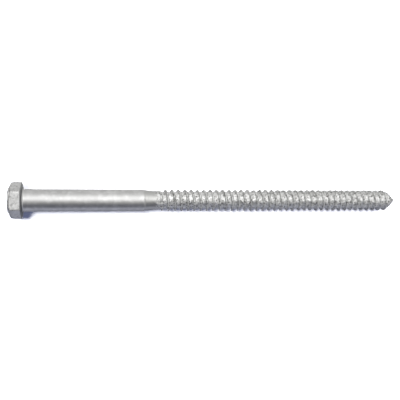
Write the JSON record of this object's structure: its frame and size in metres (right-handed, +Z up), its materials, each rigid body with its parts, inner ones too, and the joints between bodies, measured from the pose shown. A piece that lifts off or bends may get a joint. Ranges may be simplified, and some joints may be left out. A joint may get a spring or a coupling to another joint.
{
  "type": "hex head lag screw",
  "caption": "Long hot-dip galvanised steel lag screw: hexagon head, plain shank, coarse rolled right-hand wood thread and a cone point, lying on its side.",
  "frame": {"origin": "on the floor under the middle of the screw's length", "axes": "+X from the head to the point, +Z up; the screw lies on the lower flat of its head and on its thread, point end low"},
  "size_m": [0.3098, 0.0272, 0.0239],
  "materials": {
    "galvanised_steel": "hot-dip galvanised: dull and rough on the thread, smoother satin grey on the shank"
  },
  "bodies": {
    "root": {"lag_screw": "galvanised_steel"}
  },
  "joints": []
}
